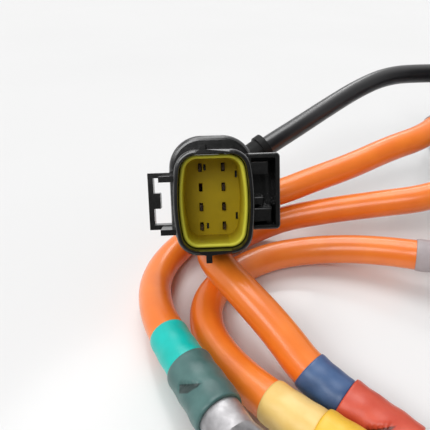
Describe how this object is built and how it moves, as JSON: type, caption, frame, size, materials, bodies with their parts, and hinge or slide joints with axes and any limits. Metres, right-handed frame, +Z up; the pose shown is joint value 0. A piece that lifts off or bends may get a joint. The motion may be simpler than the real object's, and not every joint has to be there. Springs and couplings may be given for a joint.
{
  "type": "motor lead set",
  "caption": "Lead set of an electric motor: phase cables with ring lugs and a sealed sensor connector, entering an outlet plate through cable glands.",
  "frame": {"origin": "on the floor, under the middle of the outlet plate with its glands", "axes": "-X from the plate towards the connector, +Y along the plate from the low gland to the high one, +Z up"},
  "size_m": [0.1429, 0.1784, 0.0654],
  "materials": {
    "cast_plate": "as cast, blasted",
    "gasket": "matt",
    "steel_screws": "zinc plated",
    "gland_nylon": "satin moulded",
    "orange_jacket": "glossy silicone jacket",
    "grey_sleeve": "matt shrink sleeve",
    "copper_strand": "bare copper strands",
    "tinned_lug": "tinned",
    "teal_sleeve": "shrink sleeve",
    "dark_green_sleeve": "shrink sleeve",
    "pale_yellow_sleeve": "shrink sleeve",
    "bright_yellow_sleeve": "shrink sleeve",
    "blue_sleeve": "shrink sleeve",
    "red_sleeve": "shrink sleeve",
    "black_jacket": "satin jacket",
    "black_nylon": "satin moulded",
    "olive_plastic": "moulded",
    "pin_brass": "plated",
    "seal_silicone": "matt",
    "core_wire": "thin insulation",
    "boot_rubber": "matt"
  },
  "bodies": {
    "leads": {"outlet_plate": "cast_plate", "plate_gasket": "gasket", "plate_screws": "steel_screws", "yellow_gland_body": "gland_nylon", "yellow_gland_ring": "gasket", "yellow_gland_locknut": "gland_nylon", "yellow_gland_seal": "gasket", "yellow_gland_nut": "gland_nylon", "blue_gland_body": "gland_nylon", "blue_gland_ring": "gasket", "blue_gland_locknut": "gland_nylon", "blue_gland_seal": "gasket", "blue_gland_nut": "gland_nylon", "green_gland_body": "gland_nylon", "green_gland_ring": "gasket", "green_gland_locknut": "gland_nylon", "green_gland_seal": "gasket", "green_gland_nut": "gland_nylon", "sensor_gland_body": "gland_nylon", "sensor_gland_ring": "gasket", "sensor_gland_locknut": "gland_nylon", "sensor_gland_seal": "gasket", "sensor_gland_nut": "gland_nylon", "yellow_phase_cable": "orange_jacket", "yellow_grey_sleeve": "grey_sleeve", "yellow_conductor": "copper_strand", "yellow_ring_lug": "tinned_lug", "blue_phase_cable": "orange_jacket", "blue_grey_sleeve": "grey_sleeve", "blue_conductor": "copper_strand", "blue_ring_lug": "tinned_lug", "green_phase_cable": "orange_jacket", "green_grey_sleeve": "grey_sleeve", "green_conductor": "copper_strand", "green_ring_lug": "tinned_lug", "green_marker_sleeve": "teal_sleeve", "green_lug_sleeve": "dark_green_sleeve", "yellow_marker_sleeve": "pale_yellow_sleeve", "yellow_lug_sleeve": "bright_yellow_sleeve", "blue_marker_sleeve": "blue_sleeve", "blue_lug_sleeve": "red_sleeve", "sensor_cable": "black_jacket", "connector_housing": "black_nylon", "contact_pins": "pin_brass", "wire_seals": "seal_silicone", "cavity_plug": "seal_silicone", "core_wires": "core_wire", "connector_boot": "boot_rubber"},
    "lock_plate": {"lock_plate": "olive_plastic"}
  },
  "joints": [
    {"name": "lock_plate_slide", "type": "slide", "parent": "leads", "child": "lock_plate", "axis": [0.0331, -0.8938, 0.4472], "range_m": [0, 0.0018]}
  ]
}
